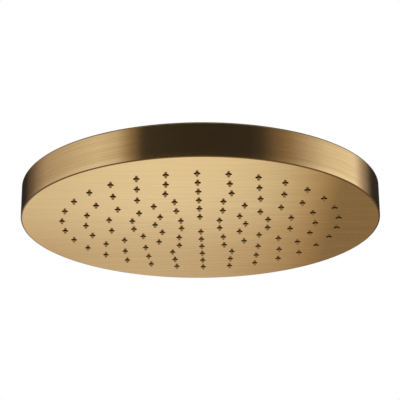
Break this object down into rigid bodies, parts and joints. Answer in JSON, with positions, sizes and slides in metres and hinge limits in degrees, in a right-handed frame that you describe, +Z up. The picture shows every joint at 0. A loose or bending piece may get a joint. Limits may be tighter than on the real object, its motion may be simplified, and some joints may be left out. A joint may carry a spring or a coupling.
{
  "type": "rain shower head",
  "caption": "Round drum-shaped rain shower head in brushed gold: flat spray face with rings of soft nozzles, on a swivelling ball joint with a threaded inlet collar.",
  "frame": {"origin": "centre of the mouth of the threaded inlet, at the top of the hexagonal collar", "axes": "+Z up along the inlet's axis, away from the spray face; the face looks down; a nozzle of every ring lies on the Y axis"},
  "size_m": [0.25, 0.25, 0.0717],
  "materials": {
    "brushed_gold": "brushed brass with a hard gold coat, satin",
    "nozzle_silicone": "soft taupe silicone, matte",
    "chamber_plastic": "black moulded plastic",
    "white_plastic": "white moulded plastic, smooth",
    "raw_brass": "turned brass, uncoated",
    "stainless": "plain steel",
    "black_rubber": "black rubber, matte"
  },
  "bodies": {
    "neck": {"ball_neck": "brushed_gold", "flow_regulator": "white_plastic", "regulator_ring": "black_rubber", "inlet_washer": "black_rubber", "strainer": "stainless"},
    "seat": {"ball_seal": "black_rubber", "slide_ring": "white_plastic"},
    "head": {"shell": "brushed_gold", "nozzle_mat": "nozzle_silicone", "cover": "brushed_gold", "water_chamber": "chamber_plastic", "studs": "stainless", "stud_washers": "stainless", "stud_nuts": "raw_brass", "inlet_insert": "raw_brass", "flow_spreader": "white_plastic", "socket": "brushed_gold", "socket_o_ring": "black_rubber", "cover_washer": "white_plastic", "cap_nut": "brushed_gold"}
  },
  "joints": [
    {"name": "head_tilt", "type": "hinge", "parent": "neck", "child": "seat", "pos_m": [0, 0, -0.03201], "axis": [1, 0, 0], "range_deg": [-15, 15]},
    {"name": "head_swivel", "type": "hinge", "parent": "seat", "child": "head", "pos_m": [0, 0, -0.03201], "axis": [0, 0, 1], "continuous": true}
  ]
}
